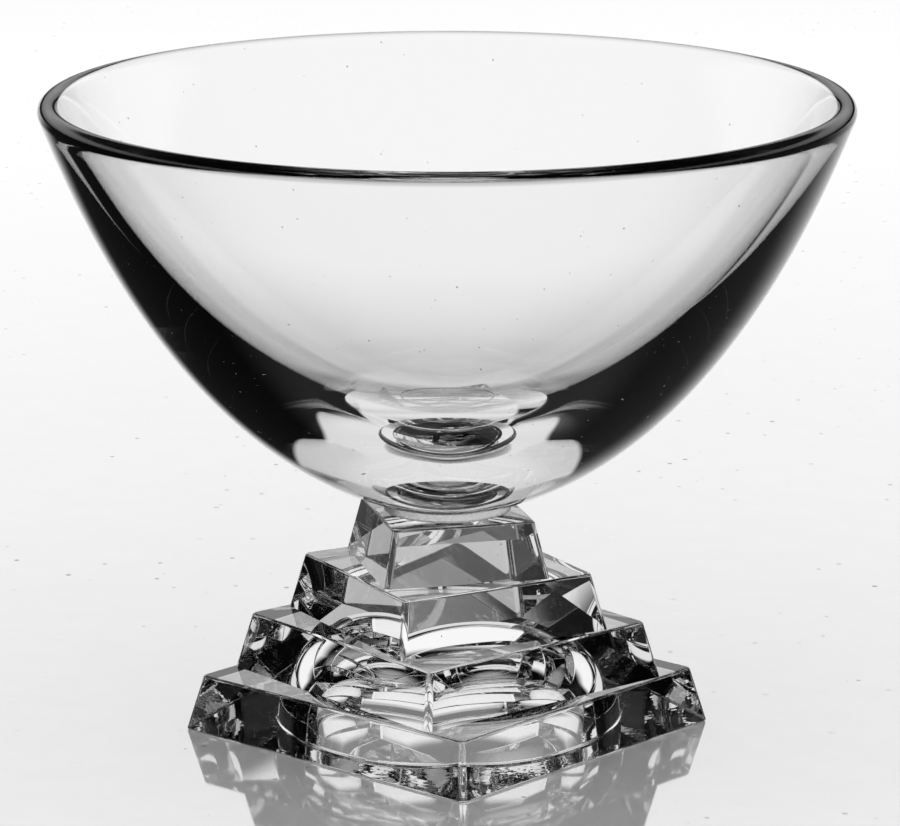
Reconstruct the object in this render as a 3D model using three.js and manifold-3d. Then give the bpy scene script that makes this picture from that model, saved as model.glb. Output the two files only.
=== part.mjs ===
// Footed glass bowl: a thick blown bowl bonded to a pressed foot of twisted square tiers.
// Millimetres, +Z up. The origin is the middle of the base, on the table.
import * as THREE from 'three';
import { mergeVertices } from 'three/addons/utils/BufferGeometryUtils.js';
import Module from 'manifold-3d';

// Foot: square tiers, each smaller than the one below and turned ahead of it
const BASE_SIDE = 107; // lowest tier at the table, measured to the sharp corner
const TIER_COUNT = 4;
const TIER_HEIGHT = 16.1;
const TIER_DRAFT = 3.3; // lean of each face, from a tier's bottom to its top
const CORNER_LEAD = 9; // how far a tier's corners run ahead of those below, clockwise from above
const CORNER_RADIUS = 1.8; // upright corners
const EDGE_RADIUS = 0.8; // polished edge round the top of a tier
const BASE_EDGE_RADIUS = 0.5; // ground edge round the table face
const SEAT_MARGIN = 2.65; // top tier's flat left round the bowl's neck

// Hollow pressed into the foot from below
const HOLLOW_WALL = 13.5; // glass between the hollow and the middle of a side, at the table
const HOLLOW_HEIGHT = 28;
const HOLLOW_FULLNESS = 2.5; // 2 is an ellipse, and more gives steeper sides and a flatter crown
const HOLLOW_EDGE_RADIUS = 1; // eased mouth of the hollow

// Clear adhesive film between the neck and the foot
const BOND_RADIUS = 14.8;
const BOND_THICKNESS = 0.3;

// Bowl: a solid neck and heavy floor, with a wall that thins towards the lip
const BOWL_HEIGHT = 119.3; // from the neck's ground face to the top of the lip
const RIM_DIAMETER = 230;
const LIP_THICKNESS = 6; // full round lip
const RIM_LEAN = 22.2; // degrees from upright of both wall faces under the lip
const NECK_RADIUS = 18.2;
const NECK_HEIGHT = 2.4;
const NECK_EDGE_RADIUS = 0.4;
const FLOOR_THICKNESS = 19; // from the neck's ground face to the lowest point inside
const BELLY_RISE = 17.2; // degrees from level at which the outer face leaves the neck
const BELLY_HANDLE = 65.2; // reach of the outer curve's lower handle
const SHOULDER_HANDLE = 18.3; // reach of the outer curve's upper handle
const FLOOR_HANDLE = 13.7; // reach of the inner curve's lower handle
const WALL_HANDLE = 93.3; // reach of the inner curve's upper handle

// Facets
const ROUND_SEGMENTS = 72;
const WALL_STEPS = 14;
const LIP_STEPS = 6;
const HOLLOW_STEPS = 12;
const CORNER_STEPS = 3;
const EDGE_STEPS = 3;
const BELOW = 2; // overlap of the solids that are joined or cut

const wasm = await Module();
wasm.setup();

// Closed solid for joining and cutting, without the collapsed triangles at a lathe's poles
function toSolid(geometry) {
  geometry.deleteAttribute('normal');
  geometry.deleteAttribute('uv');
  const merged = mergeVertices(geometry);
  const corners = merged.index.array;
  const kept = [];
  for (let i = 0; i < corners.length; i += 3) {
    const [a, b, c] = corners.slice(i, i + 3);
    if (a !== b && b !== c && c !== a) {
      kept.push(a, b, c);
    }
  }
  return new wasm.Manifold(new wasm.Mesh({
    numProp: 3,
    vertProperties: merged.attributes.position.array,
    triVerts: Uint32Array.from(kept),
  }));
}

function toGeometry(solid) {
  const { vertProperties, triVerts } = solid.getMesh();
  const geometry = new THREE.BufferGeometry();
  geometry.setAttribute('position', new THREE.BufferAttribute(vertProperties, 3));
  geometry.setIndex(new THREE.BufferAttribute(triVerts, 1));
  geometry.computeVertexNormals();
  return geometry;
}

// Points along an arc, angles in radians
function arc(x, y, radius, from, to, steps) {
  const turnsBack = to < from;
  return new THREE.EllipseCurve(x, y, radius, radius, from, to, turnsBack).getPoints(steps);
}

// Outline of radius and height, made of stretches that start where the last one ended
function joinStretches(...stretches) {
  const tolerance = 1e-6;
  return stretches.flat().filter((point, i, all) => i === 0 || point.distanceTo(all[i - 1]) > tolerance);
}

// Outline turned about the Z axis
function turned(outline) {
  return new THREE.LatheGeometry(outline, ROUND_SEGMENTS).rotateX(Math.PI / 2);
}

// Square ring with rounded corners, counter-clockwise from above
function roundedSquare(halfSide, turn, height) {
  const ring = [];
  const middle = halfSide - CORNER_RADIUS;
  for (let quarter = 0; quarter < 4; quarter += 1) {
    const start = quarter * Math.PI / 2;
    const toCorner = start + Math.PI / 4;
    const x = middle * Math.SQRT2 * Math.cos(toCorner);
    const y = middle * Math.SQRT2 * Math.sin(toCorner);
    for (const point of arc(x, y, CORNER_RADIUS, start, start + Math.PI / 2, CORNER_STEPS)) {
      point.rotateAround(new THREE.Vector2(), turn);
      ring.push(new THREE.Vector3(point.x, point.y, height));
    }
  }
  return ring;
}

// Closed skin over a stack of rings of equal count, with flat ends
function loft(rings) {
  const count = rings[0].length;
  const last = rings.length - 1;
  const points = rings.flat();
  const bottom = points.push(new THREE.Vector3(0, 0, rings[0][0].z)) - 1;
  const top = points.push(new THREE.Vector3(0, 0, rings[last][0].z)) - 1;
  const faces = [];
  for (let i = 0; i < count; i += 1) {
    const next = (i + 1) % count;
    faces.push(bottom, next, i);
    faces.push(top, last * count + i, last * count + next);
    for (let level = 0; level < last; level += 1) {
      const low = level * count;
      const high = low + count;
      faces.push(low + i, low + next, high + next);
      faces.push(low + i, high + next, high + i);
    }
  }
  const geometry = new THREE.BufferGeometry().setFromPoints(points);
  geometry.setIndex(faces);
  return geometry;
}

// Side of each tier at its bottom, in equal steps from the base to the seat of the neck
const seatSide = 2 * (NECK_RADIUS + SEAT_MARGIN);
const topTierSide = seatSide + 2 * TIER_DRAFT;
const sideStep = (BASE_SIDE - topTierSide) / (TIER_COUNT - 1);
const seatHeight = TIER_COUNT * TIER_HEIGHT;

// One tier: drafted faces, a rounded top edge, and an eased base or a root sunk in the tier below
function tier(level, side, turn) {
  const bottom = level * TIER_HEIGHT;
  const top = bottom + TIER_HEIGHT;
  const edge = arc(TIER_DRAFT + EDGE_RADIUS, top - EDGE_RADIUS, EDGE_RADIUS, Math.PI, Math.PI / 2, EDGE_STEPS);
  const base = arc(BASE_EDGE_RADIUS, BASE_EDGE_RADIUS, BASE_EDGE_RADIUS, 1.5 * Math.PI, Math.PI, EDGE_STEPS);
  const root = [new THREE.Vector2(0, bottom - BELOW), new THREE.Vector2(0, bottom)];
  const section = joinStretches(level === 0 ? base : root, edge);
  return loft(section.map((point) => roundedSquare(side / 2 - point.x, turn, point.y)));
}

// Domed hollow with an eased mouth, carried below the table to cut cleanly
function hollow() {
  const mouthRadius = BASE_SIDE / 2 - HOLLOW_WALL;
  const easing = arc(mouthRadius + HOLLOW_EDGE_RADIUS, HOLLOW_EDGE_RADIUS, HOLLOW_EDGE_RADIUS,
    1.5 * Math.PI, Math.PI, EDGE_STEPS);
  const quarter = new THREE.EllipseCurve(0, 0, 1, 1, 0, Math.PI / 2).getPoints(HOLLOW_STEPS);
  quarter[HOLLOW_STEPS].x = 0;
  const power = 2 / HOLLOW_FULLNESS;
  const domeHeight = HOLLOW_HEIGHT - HOLLOW_EDGE_RADIUS;
  const dome = quarter.map((point) => new THREE.Vector2(
    mouthRadius * point.x ** power,
    HOLLOW_EDGE_RADIUS + domeHeight * point.y ** power,
  ));
  const underside = [new THREE.Vector2(0, -BELOW), new THREE.Vector2(mouthRadius + HOLLOW_EDGE_RADIUS, -BELOW)];
  return turned(joinStretches(underside, easing, dome));
}

// Foot: tiers joined into one pressing, then hollowed
function footGeometry() {
  let foot = null;
  let turn = 0;
  for (let level = 0; level < TIER_COUNT; level += 1) {
    const side = BASE_SIDE - level * sideStep;
    if (level > 0) {
      const halfDiagonal = side / Math.SQRT2;
      turn -= CORNER_LEAD / halfDiagonal;
    }
    const solid = toSolid(tier(level, side, turn));
    foot = foot ? foot.add(solid) : solid;
  }
  return toGeometry(foot.subtract(toSolid(hollow())));
}

// Adhesive film with a slightly waisted edge
function bondGeometry() {
  const waist = new THREE.Vector2(BOND_RADIUS - BOND_THICKNESS / 2, BOND_THICKNESS / 2);
  return turned([
    new THREE.Vector2(0, 0),
    new THREE.Vector2(BOND_RADIUS, 0),
    waist,
    new THREE.Vector2(BOND_RADIUS, BOND_THICKNESS),
    new THREE.Vector2(0, BOND_THICKNESS),
  ]);
}

// Bowl: ground neck, outer curve, round lip tangent to both faces, inner curve down to the floor
function bowlGeometry() {
  const lean = THREE.MathUtils.degToRad(RIM_LEAN);
  const rise = THREE.MathUtils.degToRad(BELLY_RISE);
  const alongWall = new THREE.Vector2(Math.sin(lean), Math.cos(lean));
  const lipRadius = LIP_THICKNESS / 2;
  const lip = arc(RIM_DIAMETER / 2 - lipRadius, BOWL_HEIGHT - lipRadius, lipRadius, -lean, Math.PI - lean, LIP_STEPS);
  const neckEdge = arc(NECK_RADIUS - NECK_EDGE_RADIUS, NECK_EDGE_RADIUS, NECK_EDGE_RADIUS, -Math.PI / 2, 0, EDGE_STEPS);
  const neckTop = new THREE.Vector2(NECK_RADIUS, NECK_HEIGHT);
  const floor = new THREE.Vector2(0, FLOOR_THICKNESS);
  const outerFace = new THREE.CubicBezierCurve(
    neckTop,
    new THREE.Vector2(Math.cos(rise), Math.sin(rise)).multiplyScalar(BELLY_HANDLE).add(neckTop),
    alongWall.clone().multiplyScalar(-SHOULDER_HANDLE).add(lip[0]),
    lip[0],
  );
  const innerFace = new THREE.CubicBezierCurve(
    lip[LIP_STEPS],
    alongWall.clone().multiplyScalar(-WALL_HANDLE).add(lip[LIP_STEPS]),
    new THREE.Vector2(FLOOR_HANDLE, FLOOR_THICKNESS),
    floor,
  );
  return turned(joinStretches(
    [new THREE.Vector2(0, 0)],
    neckEdge,
    outerFace.getPoints(WALL_STEPS),
    lip,
    innerFace.getPoints(WALL_STEPS),
  ));
}

function piece(name, geometry, colour, roughness, opacity) {
  const material = new THREE.MeshStandardMaterial({
    color: colour, roughness, metalness: 0, transparent: true, opacity,
  });
  const mesh = new THREE.Mesh(geometry, material);
  mesh.name = name;
  return mesh;
}

const footedBowl = new THREE.Group();
footedBowl.add(piece('stepped_foot', footGeometry(), 0xeef3f4, 0.04, 0.4));

// The film lies on the top tier, and the bowl's neck stands on the film
const seat = new THREE.Group();
seat.position.z = seatHeight;
seat.add(piece('bond_film', bondGeometry(), 0xe4e6e2, 0.15, 0.6));
const aboveFilm = new THREE.Group();
aboveFilm.position.z = BOND_THICKNESS;
aboveFilm.add(piece('bowl', bowlGeometry(), 0xf4f7f8, 0.03, 0.35));
seat.add(aboveFilm);
footedBowl.add(seat);

export default footedBowl;
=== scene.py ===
"""Looks of a footed glass bowl: a thick blown bowl bonded to a pressed foot of twisting square tiers."""
import math

import bmesh
import bpy
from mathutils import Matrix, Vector
from mathutils.geometry import delaunay_2d_cdt


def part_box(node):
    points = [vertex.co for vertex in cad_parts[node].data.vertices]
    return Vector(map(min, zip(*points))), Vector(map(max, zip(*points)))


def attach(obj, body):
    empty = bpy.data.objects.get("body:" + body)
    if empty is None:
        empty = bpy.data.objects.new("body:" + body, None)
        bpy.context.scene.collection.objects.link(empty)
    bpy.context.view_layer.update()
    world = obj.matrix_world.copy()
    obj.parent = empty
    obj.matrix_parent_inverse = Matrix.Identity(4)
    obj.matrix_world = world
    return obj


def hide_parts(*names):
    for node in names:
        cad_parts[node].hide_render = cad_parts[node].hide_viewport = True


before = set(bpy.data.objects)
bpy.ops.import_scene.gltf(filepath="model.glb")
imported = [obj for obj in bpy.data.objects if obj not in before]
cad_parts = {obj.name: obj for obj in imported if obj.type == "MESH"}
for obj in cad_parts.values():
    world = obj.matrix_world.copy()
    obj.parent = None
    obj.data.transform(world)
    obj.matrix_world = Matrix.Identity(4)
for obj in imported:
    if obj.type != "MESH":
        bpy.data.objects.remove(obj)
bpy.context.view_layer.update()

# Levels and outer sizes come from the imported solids, in metres
MM = 0.001
FOOT_LOW, FOOT_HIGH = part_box("stepped_foot")
BOWL_LOW, BOWL_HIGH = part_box("bowl")
SEAT_LEVEL = FOOT_HIGH.z
NECK_LEVEL = BOWL_LOW.z
RIM_TOP = BOWL_HIGH.z
RIM_RADIUS = BOWL_HIGH.x
BASE_SIDE = FOOT_HIGH.x - FOOT_LOW.x

# Foot
TIER_COUNT = 4
TIER_HEIGHT = SEAT_LEVEL / TIER_COUNT
TIER_DRAFT = 3.3 * MM
CORNER_LEAD = 9 * MM
CORNER_RADIUS = 1.8 * MM
EDGE_RADIUS = 0.8 * MM
BASE_EDGE_RADIUS = 0.5 * MM
SEAT_MARGIN = 2.65 * MM
HOLLOW_WALL = 13.5 * MM
HOLLOW_MOUTH = BASE_SIDE / 2 - HOLLOW_WALL
HOLLOW_HEIGHT = 28 * MM
HOLLOW_FULLNESS = 2.5
HOLLOW_EDGE_RADIUS = 1 * MM

# Bond film
BOND_RADIUS = 14.8 * MM

# Bowl
LIP_RADIUS = 3 * MM
RIM_LEAN = math.radians(22.2)
NECK_RADIUS = 18.2 * MM
NECK_HEIGHT = 2.4 * MM
NECK_EDGE_RADIUS = 0.4 * MM
FLOOR_THICKNESS = 19 * MM
BELLY_RISE = math.radians(17.2)
BELLY_HANDLE = 65.2 * MM
SHOULDER_HANDLE = 18.3 * MM
FLOOR_HANDLE = 13.7 * MM
WALL_HANDLE = 93.3 * MM

# Mesh fineness
ROUND_SEGMENTS = 192
WALL_STEPS = 64
LIP_STEPS = 20
HOLLOW_STEPS = 40
CORNER_STEPS = 8
EDGE_STEPS = 5
TABLE_SEGMENTS = 96
SAME_POINT = 1e-9
MERGE_DISTANCE = 1e-7
SHARP_ANGLE = math.radians(40)
LARGE_FACE_WEIGHT = 100

# Material slots
BOWL_POLISHED, BOWL_GROUND, BOWL_WETTED = range(3)
FOOT_POLISHED, FOOT_WETTED, FOOT_HOLLOW, FOOT_BASE = range(4)
FILM_FACE, FILM_EDGE = range(2)

# Camera, from the photograph's perspective
CAMERA_AZIMUTH = math.radians(41.7)
CAMERA_ELEVATION = math.radians(13.9)
CAMERA_DISTANCE = 1.5467
CAMERA_LENS = 216.8
CAMERA_SENSOR = 36
CAMERA_REACH = 100
CAMERA_PIVOT = Vector((0, 0, 0.080))
CAMERA_RAISE = 12.16 * MM
CAMERA_SIDESTEP = 0.77 * MM

# Glass surfaces: swells and ripples as features per metre, stretch along X, Y and Z, and depth
GLASS_IOR = 1.52
SWELL_DETAIL = 1.0
BOWL_WAVES = ((16, (1, 1, 1), 0.10 * MM), (60, (0.25, 0.25, 1), 0.010 * MM))
FOOT_WAVES = ((55, (1, 1, 1), 0.020 * MM),)
HOLLOW_WAVES = ((90, (1, 1, 1), 0.030 * MM), (200, (0.12, 0.12, 1), 0.012 * MM))
BASE_WAVES = ((300, (1, 1, 1), 0.03 * MM),)
GROUND_GRAIN = ((1600, (1, 1, 1), 0.05 * MM),)

# A noise is features per metre and detail. A ramp is where it starts and ends, and its level there
WHITE = (1, 1, 1, 1)
GROUND_TINT = (0.7, 0.7, 0.7, 1)
GROUND_NOISE = (900, 2)
GROUND_ROUGHNESS = (0.3, 0.7, 0.25, 0.45)
SMUDGE_NOISE = (12, 4)
SMUDGE_ROUGHNESS = (0.55, 0.8, 0.0, 0.012)

# Specks lie in cells, so many per metre. The largest is a share of a cell, and most are smaller
SMALLNESS = 3.0
DUST_CELLS = 200
DUST_SIZE = 0.065
DUST_TINT = (0.3, 0.3, 0.3, 1)
DUST_ROUGHNESS = 0.7

# Air left in the adhesive: a ragged line near its edge, and bubbles
AIR_LINE_RADIUS = 13.75 * MM
AIR_LINE_WANDER = 0.9 * MM
AIR_LINE_WIDTH = 0.22 * MM
AIR_LINE_NOISE = (350, 3)
NOISE_MIDDLE = 0.5
AIR_ROUGHNESS = 0.05
BUBBLE_CELLS = 700
BUBBLE_SIZE = 0.16
BUBBLE_INNER_RADIUS = 12.6 * MM

# Table
TABLE_GAP = 0.1 * MM
TABLE_RADIUS = 40
TABLE_WHITE = 0.89
TABLE_SHEEN = 0.92
TABLE_ROUGHNESS = 0.05
TABLE_MOTTLE_NOISE = (60, 6)
TABLE_MOTTLE = (0.3, 0.7, 0.97, 1.0)
# Painted glow that the table gives off, from nothing near the axis to its most far out
TABLE_DISTANT_GLOW = (0.05, 1.2, 0.0, 0.4)
TABLE_DUST_CELLS = 80
TABLE_DUST_SIZE = 0.075
TABLE_DUST_SHADE = 0.6
TABLE_DUST_NOISE = (9, 2)
TABLE_DUST_PATCHES = (0.4, 0.6, 0.0, 1.0)

# Limits half-way between whole ray depths
AT_LEAST_ONE = 0.5
AT_LEAST_FOUR = 3.5
AT_LEAST_FIVE = 4.5

# The table as outer faces mirror it, a painted glow and painted shade, by azimuth in degrees
SHADE_LEFT = (-40, -20, 0.03, 1.0)
SHADE_RIGHT = (15, 60, 0.9, 0.08)
SHADE_BEHIND = (90, 120, 0.0, 0.2)

# The table straight through the glass, a painted glow dimmer near the axis, by metres from the axis, and its
# painted shade close to the foot
THROUGH_GLASS = (0.05, 0.38, 0.55, 1.0)
CLOSE_SHADE = (0.09, 0.115, 0.6, 0.0)

# The table for rays turned back in the glass, a painted glow with painted dark flags and painted shade near
# the foot, by azimuth, by metres from the axis and by turns
TURNED_LEFT = (-37, -33, 0.0, 1.0)
TURNED_RIGHT = (46, 51, 0.8, 0.0)
TURNED_BEHIND = (90, 130, 0.0, 0.3)
TURNED_CLOSE = (0.064, 0.076, 0.02, 1.0)
TURNED_DISTANT = (0.9, 1.3, 1.0, 0.4)
TURNED_OFTEN = (3, 5, 1.0, 0.06)
TURNED_OFTEN_AWAY = (0.18, 0.26, 0.0, 1.0)

# The table under the hollow: part mirror, part glow
HOLLOW_REACH = HOLLOW_MOUTH + 2 * MM
HOLLOW_MIRROR = 0.7
HOLLOW_MIRROR_ROUGHNESS = 0.03
HOLLOW_GLOW = 0.8

# Sky for rays turned back a few times: a backdrop and a dim ceiling, in degrees, that fade with turns
BACKDROP_SIDES = (40, 52, 1.0, 0.0)
BACKDROP_FOOT = (4, 10, 0.0, 1.0)
BACKDROP_SLOPE = 0.4
BACKDROP_TOP = (36, 54, 1.0, 0.0)
CEILING_RISE = (50, 70, 0.0, 0.35)
CEILING_SIDES = (60, 100, 1.0, 0.0)
FIRST_TURN = (1.2, 1.8, 1.0, 0.015)

# Sky for rays carried round the bowl's wall: a panel that widens upward, and one overhead, in degrees
PANEL_MIDDLE = 3
PANEL_WIDENING = 0.28
PANEL_HALF_WIDTH = (7.6, 8.6, 36, 21)
PANEL_EDGE = (-1, 1, 0.8, 0.0)
OVERHEAD_RISE = (54, 66, 0.0, 1.0)
OVERHEAD_SIDES = (80, 110, 0.85, 0.0)
LONG_WAY = (11, 13, 1.0, 0.0)

# Sky as outer faces and the table mirror it, by elevation in degrees
GLOW_FOOT = (4, 8, 0.03, 0.55)
GLOW_RISE = (8, 15, 0.0, 0.45)
GLOW_TOP = (21, 28, 0.85, 0.0255)


# Outlines of radius and height

def bezier(start, start_handle, end_handle, end, steps):
    points = []
    for i in range(steps + 1):
        t = i / steps
        u = 1 - t
        weights = (u ** 3, 3 * u * u * t, 3 * u * t * t, t ** 3)
        corners = (start, start_handle, end_handle, end)
        points.append(tuple(sum(w * c[k] for w, c in zip(weights, corners)) for k in (0, 1)))
    return points


def arc(x, y, radius, start, end, steps):
    points = []
    for i in range(steps + 1):
        angle = start + (end - start) * i / steps
        points.append((x + radius * math.cos(angle), y + radius * math.sin(angle)))
    return points


def hollow_dome():
    """The dome's curve, fuller than an ellipse, from the eased mouth up to the axis."""
    points = []
    power = 2 / HOLLOW_FULLNESS
    for i in range(1, HOLLOW_STEPS):
        angle = math.pi / 2 * i / HOLLOW_STEPS
        rise = (HOLLOW_HEIGHT - HOLLOW_EDGE_RADIUS) * math.sin(angle) ** power
        points.append((HOLLOW_MOUTH * math.cos(angle) ** power, HOLLOW_EDGE_RADIUS + rise))
    points.append((0, HOLLOW_HEIGHT))
    return points


# Meshes

def new_object(name, bm, materials):
    bmesh.ops.remove_doubles(bm, verts=bm.verts, dist=MERGE_DISTANCE)
    bmesh.ops.recalc_face_normals(bm, faces=bm.faces)
    for face in bm.faces:
        face.smooth = True
    mesh = bpy.data.meshes.new(name)
    bm.to_mesh(mesh)
    bm.free()
    mesh.set_sharp_from_angle(angle=SHARP_ANGLE)
    piece = bpy.data.objects.new(name, mesh)
    bpy.context.collection.objects.link(piece)
    for material in materials:
        mesh.materials.append(material)
    return piece


def round_ring(bm, radius, height):
    """Ring of corners about Z, or one corner where the radius is nothing."""
    if radius < SAME_POINT:
        return [bm.verts.new((0, 0, height))]
    ring = []
    for i in range(ROUND_SEGMENTS):
        angle = 2 * math.pi * i / ROUND_SEGMENTS
        ring.append(bm.verts.new((radius * math.cos(angle), radius * math.sin(angle), height)))
    return ring


def bridge(bm, low, high, slot):
    """Band of faces between two rings, either of which may be a single corner."""
    count = max(len(low), len(high))
    for i in range(count):
        j = (i + 1) % count
        corners = [low[i % len(low)], low[j % len(low)], high[j % len(high)], high[i % len(high)]]
        kept = [v for k, v in enumerate(corners) if v not in corners[:k]]
        face = bm.faces.new(kept)
        face.material_index = slot


def lathe(bm, stretches):
    """Turns an outline about Z. Each stretch is its points and its material slot."""
    ring = None
    last = None
    for points, slot in stretches:
        for point in points:
            if last is not None and math.dist(last, point) < SAME_POINT:
                continue
            fresh = round_ring(bm, *point)
            if ring is not None:
                bridge(bm, ring, fresh, slot)
            ring = fresh
            last = point


def square_ring(bm, half_side, turn, height):
    """Ring of corners along a turned square with rounded corners."""
    ring = []
    to_centre = (half_side - CORNER_RADIUS) * math.sqrt(2)
    c, s = math.cos(turn), math.sin(turn)
    for quarter in range(4):
        start = quarter * math.pi / 2
        x = to_centre * math.cos(start + math.pi / 4)
        y = to_centre * math.sin(start + math.pi / 4)
        for px, py in arc(x, y, CORNER_RADIUS, start, start + math.pi / 2, CORNER_STEPS):
            ring.append(bm.verts.new((px * c - py * s, px * s + py * c, height)))
    return ring


def fill_between(bm, outer, inner, slot):
    """Level face between two closed convex rings, one inside the other."""
    verts = outer + inner
    count = len(outer)
    edges = [(i, (i + 1) % count) for i in range(count)]
    edges += [(count + i, count + (i + 1) % len(inner)) for i in range(len(inner))]
    made = delaunay_2d_cdt([vert.co.xy for vert in verts], edges, [], 0, SAME_POINT)
    triangles, sources = made[2], made[3]
    for triangle in triangles:
        corners = [sources[i][0] for i in triangle]
        if min(corners) < count:
            face = bm.faces.new([verts[i] for i in corners])
            face.material_index = slot


# Shader graphs

def connect(tree, socket, value):
    """Links a socket to another one, or sets it to a number or colour."""
    if isinstance(value, bpy.types.NodeSocket):
        tree.links.new(value, socket)
    else:
        socket.default_value = value


def node(tree, kind, sockets=None, **settings):
    made = tree.nodes.new(kind)
    for name, value in settings.items():
        setattr(made, name, value)
    for name, value in (sockets or {}).items():
        connect(tree, made.inputs[name], value)
    return made


def calc(tree, operation, *values):
    made = node(tree, "ShaderNodeMath", operation=operation)
    for socket, value in zip(made.inputs, values):
        connect(tree, socket, value)
    return made.outputs[0]


def product(tree, first, *others):
    for other in others:
        first = calc(tree, "MULTIPLY", first, other)
    return first


def ramp(tree, value, start, end, low, high):
    """Smooth step from low to high while the value goes from start to end."""
    sockets = {"Value": value, "From Min": start, "From Max": end, "To Min": low, "To Max": high}
    made = node(tree, "ShaderNodeMapRange", sockets, interpolation_type="SMOOTHSTEP")
    return made.outputs["Result"]


def blend(tree, factor, first, second):
    """Number between two others. The node's first, third and fourth sockets are those for numbers."""
    made = node(tree, "ShaderNodeMix", {0: factor, 2: first, 3: second})
    return made.outputs[0]


def noise(tree, place, scale, detail):
    made = node(tree, "ShaderNodeTexNoise", {"Vector": place, "Scale": scale, "Detail": detail})
    return made.outputs["Fac"]


def stretched(tree, place, stretch):
    return node(tree, "ShaderNodeVectorMath", {0: place, 1: stretch}, operation="MULTIPLY").outputs["Vector"]


def from_axis(tree, place):
    flat = stretched(tree, place, (1, 1, 0))
    return node(tree, "ShaderNodeVectorMath", {0: flat}, operation="LENGTH").outputs["Value"]


def specks(tree, place, per_metre, largest, dimensions, channel):
    """Round specks, one in each cell of a random pattern, with sizes drawn from a colour channel."""
    cells = node(tree, "ShaderNodeTexVoronoi", voronoi_dimensions=dimensions)
    connect(tree, cells.inputs["Vector"], place)
    connect(tree, cells.inputs["Scale"], per_metre)
    chance = node(tree, "ShaderNodeSeparateColor", {"Color": cells.outputs["Color"]}).outputs[channel]
    size = product(tree, calc(tree, "POWER", chance, SMALLNESS), largest)
    return calc(tree, "LESS_THAN", cells.outputs["Distance"], size)


def emission(tree, strength):
    return node(tree, "ShaderNodeEmission", {"Strength": strength}).outputs["Emission"]


def glossy(tree, roughness):
    return node(tree, "ShaderNodeBsdfGlossy", {"Color": WHITE, "Roughness": roughness}).outputs["BSDF"]


def mix_shader(tree, factor, first, second):
    return node(tree, "ShaderNodeMixShader", {0: factor, 1: first, 2: second}).outputs["Shader"]


# Materials

def new_material(name):
    material = bpy.data.materials.new(name)
    material.use_nodes = True
    return material, material.node_tree, material.node_tree.nodes["Principled BSDF"]


def set_surface(tree, shader):
    connect(tree, tree.nodes["Material Output"].inputs["Surface"], shader)


def new_glass(name):
    material, tree, shader = new_material(name)
    shader.inputs["IOR"].default_value = GLASS_IOR
    shader.inputs["Transmission Weight"].default_value = 1
    place = node(tree, "ShaderNodeTexCoord").outputs["Object"]
    return material, tree, shader, place


def wavy_normal(tree, place, waves):
    height = 0.0
    for scale, stretch, depth in waves:
        swell = noise(tree, stretched(tree, place, stretch), scale, SWELL_DETAIL)
        height = calc(tree, "MULTIPLY_ADD", swell, depth, height)
    return node(tree, "ShaderNodeBump", {"Height": height, "Distance": 1.0}).outputs["Normal"]


def glass_material(name, waves):
    """Clear polished glass with slow swells, faint smudges and a few specks of dust."""
    material, tree, shader, place = new_glass(name)
    dust = specks(tree, place, DUST_CELLS, DUST_SIZE, "3D", "Red")
    tint = node(tree, "ShaderNodeMix", {"Factor": dust}, data_type="RGBA")
    tint.inputs["A"].default_value = WHITE
    tint.inputs["B"].default_value = DUST_TINT
    connect(tree, shader.inputs["Base Color"], tint.outputs["Result"])
    smudges = ramp(tree, noise(tree, place, *SMUDGE_NOISE), *SMUDGE_ROUGHNESS)
    roughness = calc(tree, "MAXIMUM", smudges, product(tree, dust, DUST_ROUGHNESS))
    connect(tree, shader.inputs["Roughness"], roughness)
    connect(tree, shader.inputs["Normal"], wavy_normal(tree, place, waves))
    return material


def ground_material(name):
    """Glass ground flat and left matt."""
    material, tree, shader, place = new_glass(name)
    shader.inputs["Base Color"].default_value = GROUND_TINT
    roughness = ramp(tree, noise(tree, place, *GROUND_NOISE), *GROUND_ROUGHNESS)
    connect(tree, shader.inputs["Roughness"], roughness)
    connect(tree, shader.inputs["Normal"], wavy_normal(tree, place, GROUND_GRAIN))
    return material


def wetted_material(name):
    """Glass wetted by the adhesive: light goes straight on, but for a ragged line of air and bubbles."""
    material, tree, shader, place = new_glass(name)
    shader.inputs["Base Color"].default_value = WHITE
    shader.inputs["Roughness"].default_value = AIR_ROUGHNESS
    place = stretched(tree, place, (1, 1, 0))
    radius = from_axis(tree, place)
    wander = calc(tree, "SUBTRACT", noise(tree, place, *AIR_LINE_NOISE), NOISE_MIDDLE)
    line_radius = calc(tree, "MULTIPLY_ADD", wander, AIR_LINE_WANDER, AIR_LINE_RADIUS)
    from_line = calc(tree, "ABSOLUTE", calc(tree, "SUBTRACT", radius, line_radius))
    line = calc(tree, "LESS_THAN", from_line, AIR_LINE_WIDTH / 2)
    bubbles = specks(tree, place, BUBBLE_CELLS, BUBBLE_SIZE, "3D", "Green")
    near_edge = calc(tree, "GREATER_THAN", radius, BUBBLE_INNER_RADIUS)
    air = calc(tree, "MAXIMUM", line, product(tree, bubbles, near_edge))
    clear = node(tree, "ShaderNodeBsdfTransparent").outputs["BSDF"]
    set_surface(tree, mix_shader(tree, air, clear, shader.outputs["BSDF"]))
    return material


def film_material(name):
    """Cured adhesive between the wetted faces, which takes no part of the light."""
    material, tree, shader = new_material(name)
    tree.nodes.remove(shader)
    set_surface(tree, node(tree, "ShaderNodeBsdfTransparent").outputs["BSDF"])
    return material


# Pieces

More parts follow.
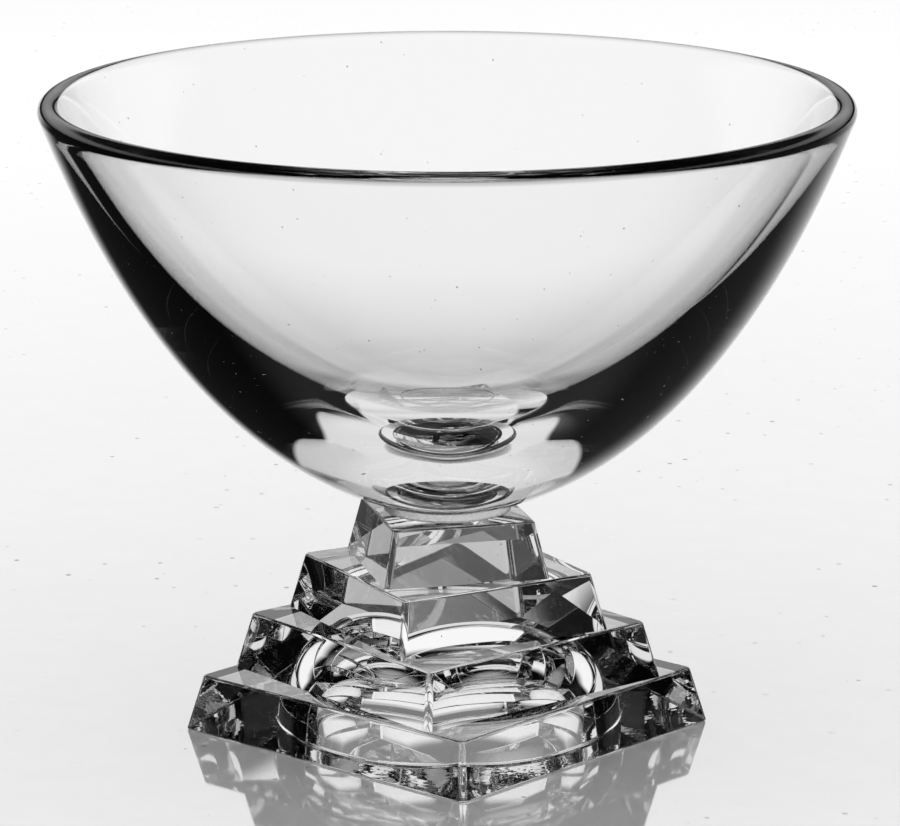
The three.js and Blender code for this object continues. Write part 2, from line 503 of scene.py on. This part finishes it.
def make_bowl(materials):
    lip_r = RIM_RADIUS - LIP_RADIUS
    lip_z = RIM_TOP - LIP_RADIUS
    lip = arc(lip_r, lip_z, LIP_RADIUS, -RIM_LEAN, math.pi - RIM_LEAN, LIP_STEPS)
    lean_r, lean_z = math.sin(RIM_LEAN), math.cos(RIM_LEAN)
    neck_edge = arc(NECK_RADIUS - NECK_EDGE_RADIUS, NECK_LEVEL + NECK_EDGE_RADIUS, NECK_EDGE_RADIUS,
                    -math.pi / 2, 0, EDGE_STEPS)
    neck_top = (NECK_RADIUS, NECK_LEVEL + NECK_HEIGHT)
    belly = (neck_top[0] + BELLY_HANDLE * math.cos(BELLY_RISE),
             neck_top[1] + BELLY_HANDLE * math.sin(BELLY_RISE))
    shoulder = (lip[0][0] - SHOULDER_HANDLE * lean_r, lip[0][1] - SHOULDER_HANDLE * lean_z)
    wall = (lip[-1][0] - WALL_HANDLE * lean_r, lip[-1][1] - WALL_HANDLE * lean_z)
    floor_z = NECK_LEVEL + FLOOR_THICKNESS
    bm = bmesh.new()
    lathe(bm, [
        ([(0, NECK_LEVEL), (BOND_RADIUS, NECK_LEVEL)], BOWL_WETTED),
        ([(BOND_RADIUS, NECK_LEVEL), neck_edge[0]], BOWL_POLISHED),
        (neck_edge + [neck_top], BOWL_GROUND),
        (bezier(neck_top, belly, shoulder, lip[0], WALL_STEPS), BOWL_POLISHED),
        (lip, BOWL_POLISHED),
        (bezier(lip[-1], wall, (FLOOR_HANDLE, floor_z), (0, floor_z), WALL_STEPS), BOWL_POLISHED),
    ])
    return new_object("bowl_glass", bm, materials)


def tier_section(level):
    """Inset and height of a tier's side, from its foot over its rounded upper edge."""
    bottom = level * TIER_HEIGHT
    upper_edge = arc(TIER_DRAFT + EDGE_RADIUS, bottom + TIER_HEIGHT - EDGE_RADIUS, EDGE_RADIUS,
                     math.pi, math.pi / 2, EDGE_STEPS)
    if level:
        return [(0, bottom)] + upper_edge
    lower_edge = arc(BASE_EDGE_RADIUS, BASE_EDGE_RADIUS, BASE_EDGE_RADIUS, 1.5 * math.pi, math.pi, EDGE_STEPS)
    return lower_edge + upper_edge


def make_foot(materials):
    bm = bmesh.new()
    seat_side = 2 * (NECK_RADIUS + SEAT_MARGIN)
    side_step = (BASE_SIDE - seat_side - 2 * TIER_DRAFT) / (TIER_COUNT - 1)
    turn = 0
    for level in range(TIER_COUNT):
        side = BASE_SIDE - level * side_step
        if level:
            turn -= CORNER_LEAD / (side / math.sqrt(2))
        rings = [square_ring(bm, side / 2 - inset, turn, height) for inset, height in tier_section(level)]
        for low, high in zip(rings, rings[1:]):
            bridge(bm, low, high, FOOT_POLISHED)
        if level:
            fill_between(bm, ledge, rings[0], FOOT_POLISHED)
        else:
            base_ring = rings[0]
        ledge = rings[-1]
    contact_ring = round_ring(bm, BOND_RADIUS, SEAT_LEVEL)
    fill_between(bm, ledge, contact_ring, FOOT_POLISHED)
    bridge(bm, contact_ring, round_ring(bm, 0, SEAT_LEVEL), FOOT_WETTED)
    easing = arc(HOLLOW_MOUTH + HOLLOW_EDGE_RADIUS, HOLLOW_EDGE_RADIUS, HOLLOW_EDGE_RADIUS,
                 1.5 * math.pi, math.pi, EDGE_STEPS)
    mouth_ring = round_ring(bm, *easing[0])
    fill_between(bm, base_ring, mouth_ring, FOOT_BASE)
    lathe(bm, [(easing, FOOT_POLISHED), (hollow_dome(), FOOT_HOLLOW)])
    foot = new_object("foot_glass", bm, materials)
    flat = foot.modifiers.new("flat_faces", "WEIGHTED_NORMAL")
    flat.mode = "FACE_AREA"
    flat.weight = LARGE_FACE_WEIGHT
    flat.keep_sharp = True
    return foot


def make_bond(materials):
    bm = bmesh.new()
    lathe(bm, [
        ([(0, SEAT_LEVEL), (BOND_RADIUS, SEAT_LEVEL)], FILM_FACE),
        ([(BOND_RADIUS, SEAT_LEVEL), (BOND_RADIUS, NECK_LEVEL)], FILM_EDGE),
        ([(BOND_RADIUS, NECK_LEVEL), (0, NECK_LEVEL)], FILM_FACE),
    ])
    return new_object("bond_film_clear", bm, materials)


# Stage

def studio_place(tree, vector):
    """Azimuth in degrees from the direction that the camera looks in, positive to its right, and height."""
    turned = node(tree, "ShaderNodeVectorRotate", {"Vector": vector, "Angle": -CAMERA_AZIMUTH},
                  rotation_type="Z_AXIS")
    split = node(tree, "ShaderNodeSeparateXYZ", {"Vector": turned.outputs["Vector"]})
    azimuth = calc(tree, "DEGREES", calc(tree, "ARCTAN2", split.outputs["X"], split.outputs["Y"]))
    return azimuth, split.outputs["Z"]


def ray_depths(tree):
    """How many faces a ray has passed into or out of glass, and how many times a face turned it back."""
    path = node(tree, "ShaderNodeLightPath")
    return path.outputs["Transmission Depth"], path.outputs["Glossy Depth"]


def table_in_view(tree, place, radius):
    """As the camera sees it: pale, glossy, dusty in patches, and white in the distance from a painted glow.
    """
    dust = specks(tree, place, TABLE_DUST_CELLS, TABLE_DUST_SIZE, "2D", "Red")
    patches = ramp(tree, noise(tree, place, *TABLE_DUST_NOISE), *TABLE_DUST_PATCHES)
    spots = product(tree, dust, patches)
    mottle = ramp(tree, noise(tree, place, *TABLE_MOTTLE_NOISE), *TABLE_MOTTLE)
    pale = product(tree, mottle, calc(tree, "MULTIPLY_ADD", spots, -TABLE_DUST_SHADE, TABLE_WHITE))
    diffuse = node(tree, "ShaderNodeBsdfDiffuse", {"Color": pale}).outputs["BSDF"]
    facing = node(tree, "ShaderNodeLayerWeight").outputs["Facing"]
    sheen = product(tree, facing, calc(tree, "MULTIPLY_ADD", spots, -TABLE_DUST_SHADE, TABLE_SHEEN))
    near = mix_shader(tree, sheen, diffuse, glossy(tree, TABLE_ROUGHNESS))
    # Painted glow, growing with distance from the axis, that whitens the far table
    distant_glow = emission(tree, ramp(tree, radius, *TABLE_DISTANT_GLOW))
    return node(tree, "ShaderNodeAddShader", {0: near, 1: distant_glow}).outputs["Shader"]


def table_mirrored(tree, azimuth, aside):
    """As an outer face mirrors it: a painted glow ahead and to the right, and painted shade to the left."""
    ahead = product(tree, ramp(tree, azimuth, *SHADE_LEFT), ramp(tree, azimuth, *SHADE_RIGHT))
    return emission(tree, calc(tree, "ADD", ahead, ramp(tree, aside, *SHADE_BEHIND)))


def table_through_glass(tree, azimuth, aside, radius):
    """As the glass sees it, in painted glow and shade: straight through, by way of a turn at a face, or under
    the hollow.
    """
    passes, turns = ray_depths(tree)
    # Painted glow, dimmer near the axis, less a painted shade close to the foot for rays that passed through
    # it
    often_passed = calc(tree, "GREATER_THAN", passes, AT_LEAST_FOUR)
    shaded = product(tree, often_passed, ramp(tree, radius, *CLOSE_SHADE))
    through = product(tree, ramp(tree, radius, *THROUGH_GLASS), calc(tree, "SUBTRACT", 1.0, shaded))
    # Painted glow in a wedge ahead, with painted dark flags to the sides and painted shade near the foot
    ahead = product(tree, ramp(tree, azimuth, *TURNED_LEFT), ramp(tree, azimuth, *TURNED_RIGHT))
    around = calc(tree, "ADD", ahead, ramp(tree, aside, *TURNED_BEHIND))
    kept = calc(tree, "MAXIMUM", ramp(tree, turns, *TURNED_OFTEN), ramp(tree, radius, *TURNED_OFTEN_AWAY))
    reach = product(tree, ramp(tree, radius, *TURNED_CLOSE), ramp(tree, radius, *TURNED_DISTANT))
    turned_back = calc(tree, "GREATER_THAN", turns, AT_LEAST_ONE)
    glow = emission(tree, blend(tree, turned_back, through, product(tree, around, kept, reach)))
    mirror = glossy(tree, HOLLOW_MIRROR_ROUGHNESS)
    under_hollow = mix_shader(tree, HOLLOW_MIRROR, emission(tree, HOLLOW_GLOW), mirror)
    return mix_shader(tree, calc(tree, "LESS_THAN", radius, HOLLOW_REACH), glow, under_hollow)


def table_material():
    material, tree, shader = new_material("table")
    tree.nodes.remove(shader)
    place = node(tree, "ShaderNodeNewGeometry").outputs["Position"]
    azimuth, _ = studio_place(tree, place)
    aside = calc(tree, "ABSOLUTE", azimuth)
    radius = from_axis(tree, place)
    passes, turns = ray_depths(tree)
    in_glass = calc(tree, "GREATER_THAN", passes, AT_LEAST_ONE)
    turned_back = calc(tree, "GREATER_THAN", turns, AT_LEAST_ONE)
    in_view = table_in_view(tree, place, radius)
    open_air = mix_shader(tree, turned_back, in_view, table_mirrored(tree, azimuth, aside))
    through_glass = table_through_glass(tree, azimuth, aside, radius)
    set_surface(tree, mix_shader(tree, in_glass, open_air, through_glass))
    return material


def make_table():
    bm = bmesh.new()
    bmesh.ops.create_circle(bm, cap_ends=True, radius=TABLE_RADIUS, segments=TABLE_SEGMENTS)
    table = new_object("table_top", bm, [table_material()])
    table.location.z = -TABLE_GAP
    return table


def sky_after_few_turns(tree, aside, elevation, turns):
    """A backdrop that is lower towards its sides, and a dim ceiling. Both fade after the first turn."""
    slope = calc(tree, "MULTIPLY_ADD", aside, BACKDROP_SLOPE, elevation)
    backdrop = product(tree, ramp(tree, aside, *BACKDROP_SIDES), ramp(tree, elevation, *BACKDROP_FOOT),
                       ramp(tree, slope, *BACKDROP_TOP))
    ceiling = product(tree, ramp(tree, elevation, *CEILING_RISE), ramp(tree, aside, *CEILING_SIDES))
    return product(tree, calc(tree, "MAXIMUM", backdrop, ceiling), ramp(tree, turns, *FIRST_TURN))


def sky_after_many_turns(tree, azimuth, aside, elevation, turns):
    """A wide panel and one overhead, until the way in the glass gets long."""
    off_middle = calc(tree, "ABSOLUTE", calc(tree, "SUBTRACT", azimuth, PANEL_MIDDLE))
    spread = calc(tree, "MULTIPLY_ADD", elevation, -PANEL_WIDENING, off_middle)
    past_edge = calc(tree, "SUBTRACT", spread, ramp(tree, turns, *PANEL_HALF_WIDTH))
    panel = ramp(tree, past_edge, *PANEL_EDGE)
    overhead = product(tree, ramp(tree, elevation, *OVERHEAD_RISE), ramp(tree, aside, *OVERHEAD_SIDES))
    return product(tree, calc(tree, "MAXIMUM", panel, overhead), ramp(tree, turns, *LONG_WAY))


def sky_mirrored(tree, elevation):
    """A glow above the horizon, and dark higher up."""
    rising = calc(tree, "ADD", ramp(tree, elevation, *GLOW_FOOT), ramp(tree, elevation, *GLOW_RISE))
    return product(tree, rising, ramp(tree, elevation, *GLOW_TOP))


def make_world():
    """White for rays that no face has turned back, and dark flags and white panels for the rest."""
    world = bpy.data.worlds.new("studio")
    bpy.context.scene.world = world
    world.use_nodes = True
    tree = world.node_tree
    azimuth, height = studio_place(tree, node(tree, "ShaderNodeTexCoord").outputs["Generated"])
    aside = calc(tree, "ABSOLUTE", azimuth)
    elevation = calc(tree, "DEGREES", calc(tree, "ARCSINE", height))
    passes, turns = ray_depths(tree)
    in_glass = calc(tree, "GREATER_THAN", passes, AT_LEAST_ONE)
    turned_back = calc(tree, "GREATER_THAN", turns, AT_LEAST_ONE)
    often_turned = calc(tree, "GREATER_THAN", turns, AT_LEAST_FIVE)
    few = sky_after_few_turns(tree, aside, elevation, turns)
    many = sky_after_many_turns(tree, azimuth, aside, elevation, turns)
    from_glass = blend(tree, often_turned, few, many)
    reflected = blend(tree, in_glass, sky_mirrored(tree, elevation), from_glass)
    background = tree.nodes["Background"]
    background.inputs["Color"].default_value = WHITE
    connect(tree, background.inputs["Strength"], blend(tree, turned_back, 1.0, reflected))


def make_camera():
    back = Vector((math.sin(CAMERA_AZIMUTH) * math.cos(CAMERA_ELEVATION),
                   -math.cos(CAMERA_AZIMUTH) * math.cos(CAMERA_ELEVATION),
                   math.sin(CAMERA_ELEVATION)))
    right = Vector((math.cos(CAMERA_AZIMUTH), math.sin(CAMERA_AZIMUTH), 0))
    up = back.cross(right)
    data = bpy.data.cameras.new("camera")
    data.lens = CAMERA_LENS
    data.sensor_width = CAMERA_SENSOR
    data.clip_end = CAMERA_REACH
    camera = bpy.data.objects.new("camera", data)
    bpy.context.collection.objects.link(camera)
    camera.location = CAMERA_PIVOT + back * CAMERA_DISTANCE
    aim = CAMERA_PIVOT + up * CAMERA_RAISE + right * CAMERA_SIDESTEP
    camera.rotation_mode = "QUATERNION"
    camera.rotation_quaternion = (aim - camera.location).to_track_quat("-Z", "Y")
    bpy.context.scene.camera = camera


make_camera()
make_world()
wetted = wetted_material("wetted_face")
ground = ground_material("ground_glass")
bowl = make_bowl([glass_material("bowl_glass", BOWL_WAVES), ground, wetted])
foot = make_foot([glass_material("foot_glass", FOOT_WAVES), wetted,
                  glass_material("hollow_glass", HOLLOW_WAVES), glass_material("base_glass", BASE_WAVES)])
bond = make_bond([film_material("adhesive_film"), ground])
make_table()
for piece, solid, slot in ((bowl, "bowl", "bowl_glass"), (foot, "stepped_foot", "foot_glass"),
                           (bond, "bond_film", "bond_adhesive")):
    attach(piece, "root")
    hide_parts(solid)

scene = bpy.context.scene
scene.view_settings.view_transform = "Standard"

# Rays turn many times in thick glass before they leave it
scene.cycles.max_bounces = 24
scene.cycles.glossy_bounces = 16
scene.cycles.transmission_bounces = 24
scene.cycles.transparent_max_bounces = 24
